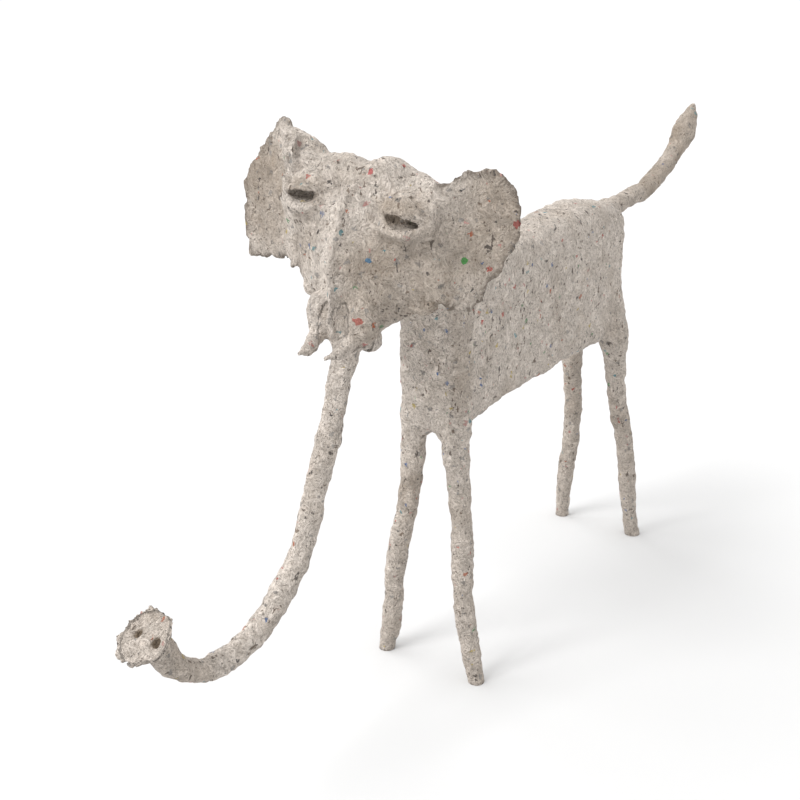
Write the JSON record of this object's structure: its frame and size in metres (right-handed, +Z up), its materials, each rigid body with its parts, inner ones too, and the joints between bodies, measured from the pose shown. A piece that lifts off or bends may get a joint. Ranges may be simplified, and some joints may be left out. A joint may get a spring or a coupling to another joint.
{
  "type": "elephant statue",
  "caption": "Free-standing elephant figure in mottled grey paper pulp, with a slab body, thin stick legs, wedge head, torn ears, raised tail and a long trunk that curls forward and up.",
  "frame": {"origin": "on the floor, under the middle of the figure's bounding box", "axes": "+Z up, -Y the way the animal faces, +X its left side"},
  "size_m": [0.3272, 1.116, 0.6145],
  "materials": {
    "paper_pulp": "matt, rough and fibrous recycled paper pulp, flecked with dark print and a few coloured flakes"
  },
  "bodies": {
    "root": {"elephant": "paper_pulp"}
  },
  "joints": []
}
